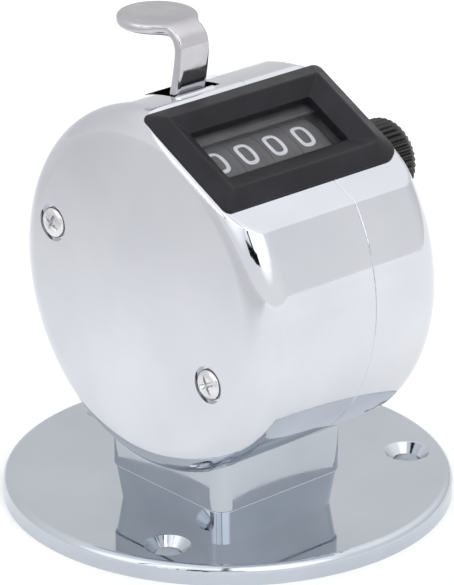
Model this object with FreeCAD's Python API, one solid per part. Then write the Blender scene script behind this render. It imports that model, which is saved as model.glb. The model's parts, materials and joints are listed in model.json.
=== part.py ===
import FreeCAD, Part
import os
from math import acos, asin, atan2, cos, degrees, hypot, pi, radians, sin, sqrt

# Hand-pushed four-figure tally counter on a screw-down base plate.
# Millimetres. X runs along the drum axis towards the reset knob, Y to the back, Z up.
# The origin is the middle of the base plate's underside.
# Pieces of the counter head are drawn about the drum's centre and moved into place when saved.

# base plate, pedestal and foot
PLATE_D = 55.0              # base plate diameter
PLATE_T = 2.4               # base plate thickness
PLATE_ROUND = 0.9           # rounding of the plate's top edge
HOLE_PCD = 45.2             # circle that the fixing holes stand on
HOLE_COUNT = 3
HOLE_FIRST_DEG = 90.0       # the first hole is at the back
HOLE_D = 3.4                # clearance hole of one fixing screw
SINK_D = 5.6                # mouth of its countersink
FOOT_X = -6.2               # middle of the foot, from the plate's middle
FOOT_W = 19.9               # foot block along X
FOOT_L = 20.3               # foot block along Y
PEDESTAL_TOP_Z = 7.0        # joint between pedestal and foot block
PEDESTAL_INSET = 0.7        # the pedestal's bottom is this much smaller on each side
PEDESTAL_TOP_INSET = 0.15   # and its top this much
FOOT_CORNER_R = 1.9
FOOT_UNDER = 3.6            # foot block between the pedestal and the drum's lowest line
SADDLE_RISE = 2.1           # how far the foot block climbs up the drum at its edges
FOOT_EDGE_R = 0.15          # broken edges along the joint of pedestal and foot block
SINK_EDGE_R = 0.15          # broken edge round each countersink's mouth

# drum shell
HEAD_X = -5.7               # drum centre from the plate's middle
HEAD_Y = -6.6
DRUM_R = 22.1
AXIS_Z = PEDESTAL_TOP_Z + FOOT_UNDER + DRUM_R
DRUM_HALF_W = 14.2
DRUM_EDGE_R = 3.6           # rounding between the drum's rim and its end faces
CREASE_R = 0.7              # rounding along the window facet's edge
SURFACE_START_DEG = 200.0   # where the drum's round surface starts and ends, clear of its openings
SEAM_EDGE_R = 0.12          # broken edge of each shell at their joint
WALL = 0.8
SEAM_X = 2.8                # joint between the two shells
LIP = 1.5                   # overlap of the shells at that joint
LIP_T = 0.6
FACET_TILT = 27.0           # slope of the window facet, degrees from level
FACET_W = 19.4              # facet's distance from the drum axis
FLOOR_RISE = 2.5            # level pad inside the shell, above the drum's lowest line
FLOOR_Z = FLOOR_RISE - DRUM_R

# window bezel and lens, in the facet's own axes: U along X, V up the slope, W outwards
BEZEL_HALF_U = 13.6
BEZEL_V = (-6.6, 9.7)       # front and back edges
BEZEL_RISE = 1.35           # ridge above the facet
BEZEL_CHAMFER = 2.1         # from the outer edge in to the ridge
BEZEL_CORNER_R = 1.2
BEZEL_SKIRT = 0.35          # upright edge under the outer slope
WINDOW_HALF_U = 9.3
WINDOW_V = (-1.8, 5.7)
WINDOW_SINK = 0.15          # window's rim below the facet
LENS_T = 0.6
LENS_W = 18.3               # lens's upper face
LENS_MARGIN = 0.9           # lens beyond the window's opening
SHADE_DEPTH = 1.95          # dark strip under the lens's back edge
SHADE_T = 0.25
COLLAR_WALL = 0.9           # collar round the lens
COLLAR_DEPTH = 1.8          # collar below the facet
COLLAR_FIT = 0.1            # collar's clearance in the shell

# number wheels
WHEEL_V = 1.65              # shaft's place in the facet's axes
WHEEL_W = 8.65
WHEEL_R = 8.75
WHEEL_RIM_T = 0.8
WHEEL_WEB_T = 0.9
WHEEL_RIM_W = 3.25
WHEEL_PITCH = 4.4
WHEEL_HUB_R = 2.9
STACK_X = -0.6              # middle of the four figures
WHEEL_NAMES = ("thousands", "hundreds", "tens", "units")
RATCHET_TIP_R = 6.8
RATCHET_ROOT_R = 5.4
RATCHET_T = 0.75
TEETH = 10
SIDE_GAP = 0.2              # between a wheel's rim and what stands beside it

# shaft and knob
SHAFT_R = 1.5
SHAFT_GROOVE_W = 0.8
SHAFT_GROOVE_DEPTH = 0.5
RUN_FIT = 0.05              # radial clearance of a turning fit
KNOB_R = 4.9
KNOB_NEAR_GAP = 0.9         # knob's near face from the shell
KNOB_END_X = 24.0
KNOB_RIDGES = 38
KNOB_RIDGE_DEPTH = 0.45
BUSH_R = 2.6
BUSH_FLANGE_R = 3.4

# frame inside the shell
FRAME_T = 1.0
FRAME_LEFT_GAP = 0.4        # plate to the nearest wheel
FRAME_RIGHT_GAP = 0.4
PILLARS = ((15.2, 4.6), (-12.2, -7.2))      # Y and Z of the shell's back and front pillar
PILLAR_R = 2.2
PILLAR_FIT = 0.1
SPACER_R = 3.0
LOBE_R = 3.4

# lever, its pivot and the pawl
PIVOT = (-15.5, 6.0)        # Y and Z of the lever's pivot
PIVOT_R = 1.1
PIVOT_BOSS_R = 2.4
ARM_T = 1.0
ARM_R = 1.4                 # half the arm's depth
ARM_GAP = 0.25              # arm to frame plate
LEVER_T = 1.2
LEVER_X = -4.1              # middle of the neck
NECK_W = 4.6
PAD_X = -3.75               # middle of the pad
PAD_R = 4.76
PAD_Y = 8.3
PAD_RISE = 7.85             # pad's top above the drum
PAD_TOP_Z = DRUM_R + PAD_RISE
NECK_TOP_Y = 1.75           # the neck leans forward to here before it bends back
BEND_R = 2.7                # middle of the strip in that bend
BEND_STEPS = (0, 30, 60, 90)
WEB_Y = 4.35                # strip that joins the two arms behind the wheels
WEB_Z = 19.1
WEB_HALF = 0.8
ARM_BACK_Z = 18.1           # arm's height where the strip crosses
SLOT_SIDES = (0.35, 2.0)    # slot beyond the neck, left and right
SLOT_Y = (1.75, 7.4)
LIP_BEAD_R = 0.55           # bead on the slot's front edge
PAWL_PIN = (8.8, 15.2)
PAWL_PIN_R = 0.8
PAWL_TUBE_R = 1.5
PAWL_T = 0.6
PAWL_SPRING_X = 3.0
PAWL_SPRING_KNEE = (6.0, 17.2)
PAWL_ANGLE = 18.0           # where the pawl meets the ratchets, degrees from the back
PAWL_GAP = 0.12             # pawl's tip outside the ratchet's tip circle

# screws
CASING_SCREW_R = 1.0
CASING_HEAD_R = 1.9
CASING_HEAD_H = 0.9
RECESS_R = 2.25
RECESS_DEPTH = 0.55
BOSS_R = 3.6
BASE_SCREW_R = 1.5
FOOT_SCREW_R = 1.0
FOOT_HEAD_R = 1.8
CROSS_W = 0.45              # width of a cross slot's arm
CROSS_L = 1.15              # half length of that arm
SCREW_FIT = 0.15            # radial clearance of a screw's hole

THROUGH = 2 * DRUM_R        # half length of a tool that goes right through the head

TILT = radians(FACET_TILT)
X_AXIS = FreeCAD.Vector(1, 0, 0)
Z_AXIS = FreeCAD.Vector(0, 0, 1)
HEAD_ORIGIN = FreeCAD.Vector(HEAD_X, HEAD_Y, AXIS_Z)
FACET_TOP = FACET_W + BEZEL_RISE


def vec(x, y, z):
    return FreeCAD.Vector(x, y, z)


def facet_to_head(v, w):
    """Turn a place on the facet's axes into Y and Z about the drum's centre."""
    return (v * cos(TILT) - w * sin(TILT), v * sin(TILT) + w * cos(TILT))


WHEEL_AXIS = facet_to_head(WHEEL_V, WHEEL_W)
WHEEL_X = [STACK_X + (i - (len(WHEEL_NAMES) - 1) / 2) * WHEEL_PITCH for i in range(len(WHEEL_NAMES))]
RATCHET_OFFSET = WHEEL_RIM_W / 2 + SIDE_GAP
FRAME_LEFT_X = WHEEL_X[0] - WHEEL_RIM_W / 2 - FRAME_LEFT_GAP
FRAME_RIGHT_X = WHEEL_X[-1] + RATCHET_OFFSET + RATCHET_T + FRAME_RIGHT_GAP
ARM_LEFT_X = FRAME_LEFT_X - FRAME_T - ARM_GAP
ARM_RIGHT_X = FRAME_RIGHT_X + FRAME_T + ARM_GAP
INNER_END_X = DRUM_HALF_W - WALL


def box(x, y, z):
    """Box from three (low, high) pairs."""
    return Part.makeBox(x[1] - x[0], y[1] - y[0], z[1] - z[0], vec(x[0], y[0], z[0]))


def rod(radius, x0, x1, centre=(0, 0)):
    """Round bar along X."""
    return Part.makeCylinder(radius, x1 - x0, vec(x0, centre[0], centre[1]), X_AXIS)


def post(radius, z0, z1, centre=(0, 0)):
    """Round bar along Z."""
    return Part.makeCylinder(radius, z1 - z0, vec(centre[0], centre[1], z0), Z_AXIS)


def plate(points, x0, x1):
    """Flat plate with a straight-edged outline in Y and Z, from x0 to x1."""
    corners = [vec(x0, y, z) for y, z in points]
    face = Part.Face(Part.makePolygon(corners + corners[:1]))
    return face.extrude(vec(x1 - x0, 0, 0))


def bar(a, b, radius_a, radius_b, x0, x1):
    """Flat link with round ends at a and b, its sides tangent to both ends."""
    span = hypot(b[0] - a[0], b[1] - a[1])
    along = atan2(b[1] - a[1], b[0] - a[0])
    swing = acos((radius_a - radius_b) / span)
    sides = []
    for centre, radius in ((a, radius_a), (b, radius_b)):
        for sign in (1, -1):
            angle = along + sign * swing
            sides.append((centre[0] + radius * cos(angle), centre[1] + radius * sin(angle)))
    quad = plate([sides[0], sides[2], sides[3], sides[1]], x0, x1)
    return quad.multiFuse([rod(radius_a, x0, x1, a), rod(radius_b, x0, x1, b)])


def chain(points, radius, x0, x1):
    """Links joined end to end, all of one half depth."""
    links = [bar(a, b, radius, radius, x0, x1) for a, b in zip(points, points[1:])]
    return links[0].multiFuse(links[1:]).removeSplitter() if len(links) > 1 else links[0]


def rounded_block(half_x, half_y, z0, z1, corner):
    block = box((-half_x, half_x), (-half_y, half_y), (z0, z1))
    uprights = [e for e in block.Edges if abs(e.Vertexes[0].Z - e.Vertexes[1].Z) > (z1 - z0) / 2]
    return block.makeFillet(corner, uprights)


def on_facet(shape):
    """Stand a shape drawn as U, V, W on the sloping facet."""
    return shape.rotated(vec(0, 0, 0), X_AXIS, FACET_TILT)


def cross_slot(depth):
    """Cross-head recess that goes down from z = 0."""
    arms = [box((-CROSS_L, CROSS_L), (-CROSS_W / 2, CROSS_W / 2), (-depth, 0.5))]
    arms.append(arms[0].rotated(vec(0, 0, 0), Z_AXIS, 90))
    return arms[0].fuse(arms[1])


def pan_screw(head_r, head_h, shank_r, length, crossed=True):
    """Pan-head screw along Z: the head stands on z = 0 and the shank goes down."""
    head = post(head_r, 0, head_h)
    rim = [e for e in head.Edges if abs(e.BoundBox.ZMin - head_h) < 1e-6]
    screw = head.makeFillet(head_h * 0.45, rim).fuse(post(shank_r, -length, 0))
    if crossed:
        slot = cross_slot(head_h * 0.65)
        screw = screw.cut(slot.translated(vec(0, 0, head_h)))
    return screw


# ---- base ----

def hole_places():
    for i in range(HOLE_COUNT):
        angle = radians(HOLE_FIRST_DEG + i * 360 / HOLE_COUNT)
        yield (HOLE_PCD / 2 * cos(angle), HOLE_PCD / 2 * sin(angle))


def base_screw_places():
    half = FOOT_W * 0.3
    return ((FOOT_X - half, HEAD_Y), (FOOT_X + half, HEAD_Y))


BASE_SINK_H = BASE_SCREW_R          # 90 degree countersink
BASE_THREAD = 2.7                   # thread inside the foot block


def countersink(centre, mouth_z, hole_r, mouth_r, up):
    """Cone that opens from hole_r to mouth_r at mouth_z; up is +1 where it opens upwards."""
    depth = mouth_r - hole_r
    base = vec(centre[0], centre[1], mouth_z - up * depth)
    return Part.makeCone(hole_r, mouth_r, depth, base, vec(0, 0, up))


def base_plate():
    disc = post(PLATE_D / 2, 0, PLATE_T)
    rim = [e for e in disc.Edges if abs(e.BoundBox.ZMin - PLATE_T) < 1e-6]
    disc = disc.makeFillet(PLATE_ROUND, rim)
    cuts = []
    for place in hole_places():
        cuts.append(post(HOLE_D / 2, -1, PLATE_T + 1, place))
        cuts.append(countersink(place, PLATE_T, HOLE_D / 2, SINK_D / 2, 1))
    for place in base_screw_places():
        hole_r = BASE_SCREW_R + SCREW_FIT
        cuts.append(post(hole_r, -1, PLATE_T + 1, place))
        cuts.append(countersink(place, 0, hole_r, hole_r + BASE_SINK_H, -1))
    disc = disc.cut(Part.makeCompound(cuts))
    mouths = [e for e in disc.Edges if abs(e.Length - pi * SINK_D) < 1e-3]
    return disc.makeFillet(SINK_EDGE_R, mouths)


def foot_section(z, inset):
    half_x = FOOT_W / 2 - inset
    half_y = FOOT_L / 2 - inset
    block = rounded_block(half_x, half_y, z, z + 1, FOOT_CORNER_R)
    bottom = [f for f in block.Faces if f.BoundBox.ZMax < z + 1e-6][0]
    return bottom.OuterWire


def pedestal():
    sections = [foot_section(PLATE_T, PEDESTAL_INSET), foot_section(PEDESTAL_TOP_Z, PEDESTAL_TOP_INSET)]
    block = Part.makeLoft(sections, True, True)
    rim = [e for e in block.Edges if e.BoundBox.ZMin > PEDESTAL_TOP_Z - 1e-6]
    block = block.makeFillet(FOOT_EDGE_R, rim)
    block.translate(vec(FOOT_X, HEAD_Y, 0))
    holes = [post(BASE_SCREW_R + SCREW_FIT, 0, AXIS_Z, p) for p in base_screw_places()]
    return block.cut(Part.makeCompound(holes))


SADDLE_GAP = 0.05
SADDLE_HORN = 1.0           # height of the block's front and back edges above the saddle's rim
FOOT_SCREW_X = (-5.0, 6.8)          # from the drum's centre, one pair to each shell
FOOT_SCREW_Y = 6.4
FOOT_SCREW_L = 4.6


def foot_screw_places():
    for x in FOOT_SCREW_X:
        for y in (-FOOT_SCREW_Y, FOOT_SCREW_Y):
            yield (HEAD_X + x, HEAD_Y + y)


def foot_block():
    top = AXIS_Z - DRUM_R + SADDLE_RISE + SADDLE_HORN
    block = rounded_block(FOOT_W / 2, FOOT_L / 2, PEDESTAL_TOP_Z, top, FOOT_CORNER_R)
    block = block.makeFillet(FOOT_EDGE_R, [e for e in block.Edges if e.BoundBox.ZMax < PEDESTAL_TOP_Z + 1e-6])
    block.translate(vec(FOOT_X, HEAD_Y, 0))
    saddle = rod(DRUM_R + SADDLE_GAP, HEAD_X - THROUGH, HEAD_X + THROUGH, (HEAD_Y, AXIS_Z))
    thread_z = PEDESTAL_TOP_Z + BASE_THREAD
    cuts = [saddle]
    cuts += [post(BASE_SCREW_R, 0, thread_z, p) for p in base_screw_places()]
    floor = AXIS_Z + FLOOR_Z
    cuts += [post(FOOT_SCREW_R, floor - FOOT_SCREW_L, AXIS_Z, p) for p in foot_screw_places()]
    return block.cut(Part.makeCompound(cuts))


def base_screws():
    screws = []
    for place in base_screw_places():
        shank = post(BASE_SCREW_R, BASE_SINK_H, PEDESTAL_TOP_Z + BASE_THREAD, place)
        base = vec(place[0], place[1], 0)
        head = Part.makeCone(BASE_SCREW_R + BASE_SINK_H, BASE_SCREW_R, BASE_SINK_H, base, Z_AXIS)
        slot = cross_slot(BASE_SINK_H * 0.6).rotated(vec(0, 0, 0), X_AXIS, 180)
        slot.translate(vec(place[0], place[1], 0))
        screws.append(shank.fuse(head).cut(slot))
    return Part.makeCompound(screws)


def foot_screws():
    floor = AXIS_Z + FLOOR_Z
    screw = pan_screw(FOOT_HEAD_R, 1.1, FOOT_SCREW_R, FOOT_SCREW_L, crossed=False)
    return Part.makeCompound([screw.translated(vec(x, y, floor)) for x, y in foot_screw_places()])


# ---- drum shells ----

def round_end(solid, x, radius):
    """Round the solid's outer edges that lie in the plane across X at x."""
    flat = [e for e in solid.Edges if abs(e.BoundBox.XMin - x) + abs(e.BoundBox.XMax - x) < 1e-6]
    return solid.makeFillet(radius, flat)


def drum_solid(inset):
    """The drum's outer shape pulled in by inset: a round-ended cylinder cut by the window facet."""
    end = DRUM_HALF_W - inset
    drum = rod(DRUM_R - inset, -end, end).rotated(vec(0, 0, 0), X_AXIS, SURFACE_START_DEG)
    for x in (-end, end):
        drum = round_end(drum, x, DRUM_EDGE_R - inset)
    flat = FACET_W - inset
    drum = drum.cut(box((-THROUGH, THROUGH), (-THROUGH, THROUGH), (flat, THROUGH)))
    if CREASE_R > inset:
        crease = [e for e in drum.Edges if e.BoundBox.ZMin > flat - 1e-6]
        drum = drum.makeFillet(CREASE_R - inset, crease)
    return on_facet(drum)


def half_drum(x0, x1, seam_x):
    """The drum's part from x0 to x1, with a broken edge at the seam."""
    return round_end(drum_solid(0).common(slab(x0, x1)), seam_x, SEAM_EDGE_R)


def shell_body(outside, x0, x1):
    """One shell from x0 to x1 with its floor pad, screw bosses and openings."""
    inner = drum_solid(WALL)
    pad = inner.common(box((-DRUM_R, DRUM_R), (-DRUM_R, DRUM_R), (-DRUM_R, FLOOR_Z)))
    bosses = [rod(BOSS_R, -INNER_END_X, -INNER_END_X + WALL, p) for p in PILLARS]
    bosses.append(rod(BOSS_R, INNER_END_X - WALL, INNER_END_X, WHEEL_AXIS))
    inside = Part.makeCompound([pad] + bosses).common(slab(x0, x1))
    solid = outside.cut(inner).multiFuse(inside.Solids)
    far = DRUM_R * 2
    cuts = [on_facet(box(*collar_box(COLLAR_FIT), (FACET_W - COLLAR_DEPTH, FACET_W + COLLAR_DEPTH)))]
    slot_x = (LEVER_X - NECK_W / 2 - SLOT_SIDES[0], LEVER_X + NECK_W / 2 + SLOT_SIDES[1])
    cuts.append(box(slot_x, SLOT_Y, (0, far)))
    for place in PILLARS:
        cuts.append(rod(CASING_SCREW_R + SCREW_FIT, -far, 0, place))
        cuts.append(rod(RECESS_R, -far, RECESS_DEPTH - DRUM_HALF_W, place))
    cuts.append(rod(BUSH_R, 0, far, WHEEL_AXIS))
    for x, y in foot_screw_places():
        cuts.append(post(FOOT_SCREW_R + SCREW_FIT, -far, 0, (x - HEAD_X, y - HEAD_Y)))
    return solid.cut(Part.makeCompound(cuts))


def slab(x0, x1):
    far = DRUM_R * 2
    return box((x0, x1), (-far, far), (-far, far))


def shell_lip():
    """Thin ring on the right shell that goes inside the left one."""
    far = DRUM_R * 2
    core = drum_solid(WALL + LIP_T)
    ring = drum_solid(WALL + RUN_FIT).cut(core).common(slab(SEAM_X - LIP, SEAM_X))
    root = drum_solid(WALL).cut(core).common(slab(SEAM_X, SEAM_X + LIP / 2))
    lip = ring.fuse(root)
    clear = [box((-far, far), (-far, far), (-far, FLOOR_Z + 0.2))]
    clear.append(on_facet(box(*collar_box(COLLAR_FIT), (0, far))))
    return lip.cut(Part.makeCompound(clear))


def slot_lip():
    """Small rounded bead on the slot's front edge, before the neck."""
    y = SLOT_Y[0] - LIP_BEAD_R
    z = sqrt(DRUM_R ** 2 - y ** 2) - LIP_BEAD_R * 0.4
    half = NECK_W / 2 + LIP_BEAD_R / 2
    ends = [Part.makeSphere(LIP_BEAD_R, vec(LEVER_X + side * half, y, z)) for side in (-1, 1)]
    return rod(LIP_BEAD_R, LEVER_X - half, LEVER_X + half, (y, z)).multiFuse(ends)


def casing_left():
    outside = half_drum(-THROUGH, SEAM_X, SEAM_X)
    return shell_body(outside, -THROUGH, SEAM_X).fuse(slot_lip()).removeSplitter()


def casing_right():
    outside = half_drum(SEAM_X, THROUGH, SEAM_X)
    return shell_body(outside, SEAM_X, THROUGH).fuse(shell_lip()).removeSplitter()


def casing_pillars():
    """Tapped pillars that carry the frame and take the screws from the left face."""
    near = -INNER_END_X + WALL
    pillars = []
    for place in PILLARS:
        bore = rod(CASING_SCREW_R, near - 1, near + 6, place)
        pillars.append(rod(PILLAR_R, near, INNER_END_X, place).cut(bore))
    return Part.makeCompound(pillars)


def casing_screws():
    seat = RECESS_DEPTH - DRUM_HALF_W
    length = -INNER_END_X + WALL + 5 - seat
    screw = pan_screw(CASING_HEAD_R, CASING_HEAD_H, CASING_SCREW_R, length)
    lying = screw.rotated(vec(0, 0, 0), vec(0, 1, 0), -90)
    return Part.makeCompound([lying.translated(vec(seat, y, z)) for y, z in PILLARS])


# ---- window ----

def collar_box(clearance):
    """U and V spans of the collar round the lens, grown by a clearance."""
    grow = LENS_MARGIN + COLLAR_WALL + clearance
    u = (-WINDOW_HALF_U - grow, WINDOW_HALF_U + grow)
    return (u, (WINDOW_V[0] - grow, WINDOW_V[1] + grow))


def lens_box(clearance):
    grow = LENS_MARGIN + clearance
    u = (-WINDOW_HALF_U - grow, WINDOW_HALF_U + grow)
    return (u, (WINDOW_V[0] - grow, WINDOW_V[1] + grow))


def rectangle(u, v, w):
    corners = [vec(u[0], v[0], w), vec(u[1], v[0], w), vec(u[1], v[1], w), vec(u[0], v[1], w)]
    return Part.makePolygon(corners + corners[:1])


def window_bezel():
    """Ridge-edged frame: it slopes up from its outer edge and down again to the window."""
    outer_u = (-BEZEL_HALF_U, BEZEL_HALF_U)
    ridge_u = (outer_u[0] + BEZEL_CHAMFER, outer_u[1] - BEZEL_CHAMFER)
    ridge_v = (BEZEL_V[0] + BEZEL_CHAMFER, BEZEL_V[1] - BEZEL_CHAMFER)
    window_u = (-WINDOW_HALF_U, WINDOW_HALF_U)
    base = rounded_prism(outer_u, BEZEL_V, FACET_W, FACET_W + BEZEL_SKIRT, BEZEL_CORNER_R)
    low = rectangle(outer_u, BEZEL_V, FACET_W + BEZEL_SKIRT)
    crown = Part.makeLoft([low, rectangle(ridge_u, ridge_v, FACET_TOP)], True, True)
    crown = crown.common(rounded_prism(outer_u, BEZEL_V, FACET_W, FACET_TOP, BEZEL_CORNER_R))
    rim_w = FACET_W - WINDOW_SINK
    funnel = Part.makeLoft([rectangle(window_u, WINDOW_V, rim_w),
                            rectangle(ridge_u, ridge_v, FACET_TOP)], True, True)
    collar = box(*collar_box(0), (FACET_W - COLLAR_DEPTH, FACET_W))
    opening = box(window_u, WINDOW_V, (0, rim_w + 0.01))
    pocket = box(*lens_box(0.05), (0, LENS_W))
    solid = base.multiFuse([crown, collar]).cut(Part.makeCompound([funnel, opening, pocket]))
    return on_facet(solid.removeSplitter())


def rounded_prism(u, v, w0, w1, corner):
    block = rounded_block((u[1] - u[0]) / 2, (v[1] - v[0]) / 2, w0, w1, corner)
    return block.translated(vec((u[0] + u[1]) / 2, (v[0] + v[1]) / 2, 0))


def figure_shade():
    """Strip stuck under the lens's back edge; it hides the figures that wait behind the window."""
    top = LENS_W - LENS_T
    back = WINDOW_V[1] + LENS_MARGIN
    u = WINDOW_HALF_U + LENS_MARGIN
    return on_facet(box((-u, u), (back - SHADE_DEPTH, back), (top - SHADE_T, top)))


def window_lens():
    return on_facet(box(*lens_box(0), (LENS_W - LENS_T, LENS_W)))


# ---- frame ----

MASK_BAR_DEG = 42.0         # the mask's bars stand this much each side of the window's middle
MASK_BELOW = 0.04           # the mask's fingers are this much lower than the wheels
MASK_BAR_OUT = 1.15         # bar's centre outside the wheels
MASK_BAR_R = 0.7
MASK_T = 1.0
MASK_INNER_GAP = 0.4
DETENT_BAR = (-6.0, -7.0)
DETENT_BAR_HALF = 1.2
DETENT_ANGLE = -112.0       # where the detent fingers meet the ratchets
DETENT_T = 0.3
FRAME_BACK = [(2.6, 13.5), (4.2, 9.0), (7.5, 2.5)]     # side plate's back edge, clear of the lever's arm
FRAME_HEEL = (8.0, 0.0)
FRAME_GUSSET = (4.0, 1.0)   # end of the arm that carries the back pillar
FRAME_GUSSET_R = 1.5
FRAME_EDGE = 0.65           # metal left round a small hole


def around_wheel(angle_deg, radius):
    """Y and Z at an angle from the back, on a circle about the wheel shaft."""
    angle = radians(angle_deg)
    return (WHEEL_AXIS[0] + radius * cos(angle), WHEEL_AXIS[1] + radius * sin(angle))


def mask_bar_places():
    middle = 90 + FACET_TILT
    radius = WHEEL_R + MASK_BAR_OUT
    return [around_wheel(middle + s * MASK_BAR_DEG, radius) for s in (-1, 1)]


def frame_plate(x0):
    """Side plate that holds the wheel shaft, the lever's pivot and the cross bars."""
    x1 = x0 + FRAME_T
    back_bar, front_bar = mask_bar_places()
    foot = (DETENT_BAR[0] + 1, DETENT_BAR[1] - 2)
    outline = [back_bar] + FRAME_BACK + [PILLARS[0], FRAME_HEEL, foot, PILLARS[1], PIVOT, front_bar]
    lobes = [rod(LOBE_R, x0, x1, p) for p in PILLARS]
    lobes.append(rod(PIVOT_BOSS_R + FRAME_EDGE, x0, x1, PIVOT))
    lobes += [rod(MASK_BAR_R + FRAME_EDGE, x0, x1, p) for p in (back_bar, front_bar)]
    lobes.append(bar(PILLARS[0], FRAME_GUSSET, LOBE_R, FRAME_GUSSET_R, x0, x1))
    solid = plate(outline, x0, x1).multiFuse(lobes)
    cuts = [rod(PILLAR_R + PILLAR_FIT, x0 - 1, x1 + 1, p) for p in PILLARS]
    cuts.append(rod(SHAFT_R + RUN_FIT, x0 - 1, x1 + 1, WHEEL_AXIS))
    cuts.append(rod(PIVOT_R, x0 - 1, x1 + 1, PIVOT))
    cuts += [rod(MASK_BAR_R, x0 - 1, x1 + 1, p) for p in (back_bar, front_bar)]
    return solid.cut(Part.makeCompound(cuts)).removeSplitter()


def frame_spacers():
    spacers = []
    for place in PILLARS:
        tube = rod(SPACER_R, FRAME_LEFT_X, FRAME_RIGHT_X, place)
        spacers.append(tube.cut(rod(PILLAR_R + PILLAR_FIT, -THROUGH, THROUGH, place)))
    return Part.makeCompound(spacers)


def finger_places():
    """Middle of each gap between wheels, where the ratchets are."""
    return [x + RATCHET_OFFSET + RATCHET_T / 2 for x in WHEEL_X]


def dial_mask():
    """Comb that closes the gaps between the figures, hung on two bars."""
    bars = [rod(MASK_BAR_R, FRAME_LEFT_X - FRAME_T, FRAME_RIGHT_X + FRAME_T, p)
            for p in mask_bar_places()]
    inner = RATCHET_TIP_R + MASK_INNER_GAP
    middle = 90 + FACET_TILT
    reach = [around_wheel(middle + s * MASK_BAR_DEG, 2 * WHEEL_R) for s in (-1, 0, 1)]
    fingers = []
    for x in finger_places():
        x0, x1 = x - MASK_T / 2, x + MASK_T / 2
        ring = rod(WHEEL_R - MASK_BELOW, x0, x1, WHEEL_AXIS).cut(rod(inner, x0 - 1, x1 + 1, WHEEL_AXIS))
        sector = ring.common(plate([WHEEL_AXIS] + reach, x0, x1))
        tabs = []
        for sign, place in zip((-1, 1), mask_bar_places()):
            root = around_wheel(middle + sign * (MASK_BAR_DEG - 3), inner + 0.6)
            tabs.append(bar(root, place, 0.5, MASK_BAR_R, x0, x1))
        fingers.append(sector.multiFuse(tabs))
    return bars[0].multiFuse(bars[1:] + fingers).removeSplitter()


def detent_bar():
    half = DETENT_BAR_HALF
    y, z = DETENT_BAR
    return box((FRAME_LEFT_X, FRAME_RIGHT_X), (y - half, y + half), (z - half, z + half))


def detent_spring():
    """Comb of four leaves: each rests beside one ratchet."""
    y = DETENT_BAR[0] + DETENT_BAR_HALF + DETENT_T / 2
    tip = around_wheel(DETENT_ANGLE, RATCHET_TIP_R + PAWL_GAP + DETENT_T / 2)
    half = DETENT_T / 2
    back = box((WHEEL_X[0], finger_places()[-1] + PAWL_T / 2),
               (y - half, y + half), (DETENT_BAR[1] - 1.1, DETENT_BAR[1] + 1.6))
    leaves = []
    for x in finger_places():
        knee = (y + 0.5, DETENT_BAR[1] + 4.5)
        route = [(y, DETENT_BAR[1] + 1.2), knee, tip]
        leaves.append(chain(route, half, x - PAWL_T / 2, x + PAWL_T / 2))
    return back.multiFuse(leaves).removeSplitter()


def detent_screws():
    screw = pan_screw(0.95, 0.6, 0.5, 1.6, crossed=False)
    lying = screw.rotated(vec(0, 0, 0), X_AXIS, -90)
    y = DETENT_BAR[0] + DETENT_BAR_HALF + DETENT_T
    places = [(WHEEL_X[0] + WHEEL_X[1]) / 2, (WHEEL_X[2] + WHEEL_X[3]) / 2]
    return Part.makeCompound([lying.translated(vec(x, y, DETENT_BAR[1])) for x in places])


def drill_for_detent_screws(shape):
    return shape.cut(detent_screws())


# ---- lever ----

PIN_CLIP_T = 0.5
ARM_ROUTE = [PIVOT, (-10.5, 12.5), (-4.0, 15.6), (WEB_Y, ARM_BACK_Z), PAWL_PIN]


def lever_yoke():
    """Two arms and the strip across them, pressed from one sheet."""
    spans = ((ARM_LEFT_X - ARM_T, ARM_LEFT_X), (ARM_RIGHT_X, ARM_RIGHT_X + ARM_T))
    parts = []
    for x0, x1 in spans:
        parts.append(chain(ARM_ROUTE, ARM_R, x0, x1))
        parts.append(rod(PIVOT_BOSS_R, x0, x1, PIVOT))
        parts.append(rod(PAWL_TUBE_R + 0.3, x0, x1, PAWL_PIN))
    parts.append(box((spans[0][0], spans[1][1]), (WEB_Y - LEVER_T / 2, WEB_Y + LEVER_T / 2),
                     (WEB_Z - WEB_HALF, WEB_Z + WEB_HALF)))
    solid = parts[0].multiFuse(parts[1:]).removeSplitter()
    holes = [rod(PIVOT_R + RUN_FIT, -THROUGH, THROUGH, PIVOT), rod(PAWL_PIN_R, -THROUGH, THROUGH, PAWL_PIN)]
    holes += lever_rivets().Solids
    return solid.cut(Part.makeCompound(holes))


def thumb_lever():
    """Neck and round thumb pad; the neck is riveted to the front of the yoke's cross strip."""
    half_t = LEVER_T / 2
    pad_z = PAD_TOP_Z - half_t
    low = WEB_Z - WEB_HALF + half_t
    front = WEB_Y - LEVER_T
    bend = [(NECK_TOP_Y + BEND_R * (1 - cos(radians(a))), pad_z - BEND_R * (1 - sin(radians(a))))
            for a in BEND_STEPS]
    neck = [(front, low), (front, WEB_Z + WEB_HALF)] + bend + [(PAD_Y, pad_z)]
    strip = chain(neck, half_t, LEVER_X - NECK_W / 2, LEVER_X + NECK_W / 2)
    pad = post(PAD_R, PAD_TOP_Z - LEVER_T, PAD_TOP_Z, (PAD_X, PAD_Y))
    rims = [e for e in pad.Edges if abs(e.Length - 2 * pi * PAD_R) < 1e-3]
    solid = strip.fuse(pad.makeFillet(LEVER_T * 0.3, rims)).removeSplitter()
    return solid.cut(lever_rivets())


RIVET_R = 0.45
RIVET_HEAD_R = 0.72
RIVET_HEAD_T = 0.3


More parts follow.
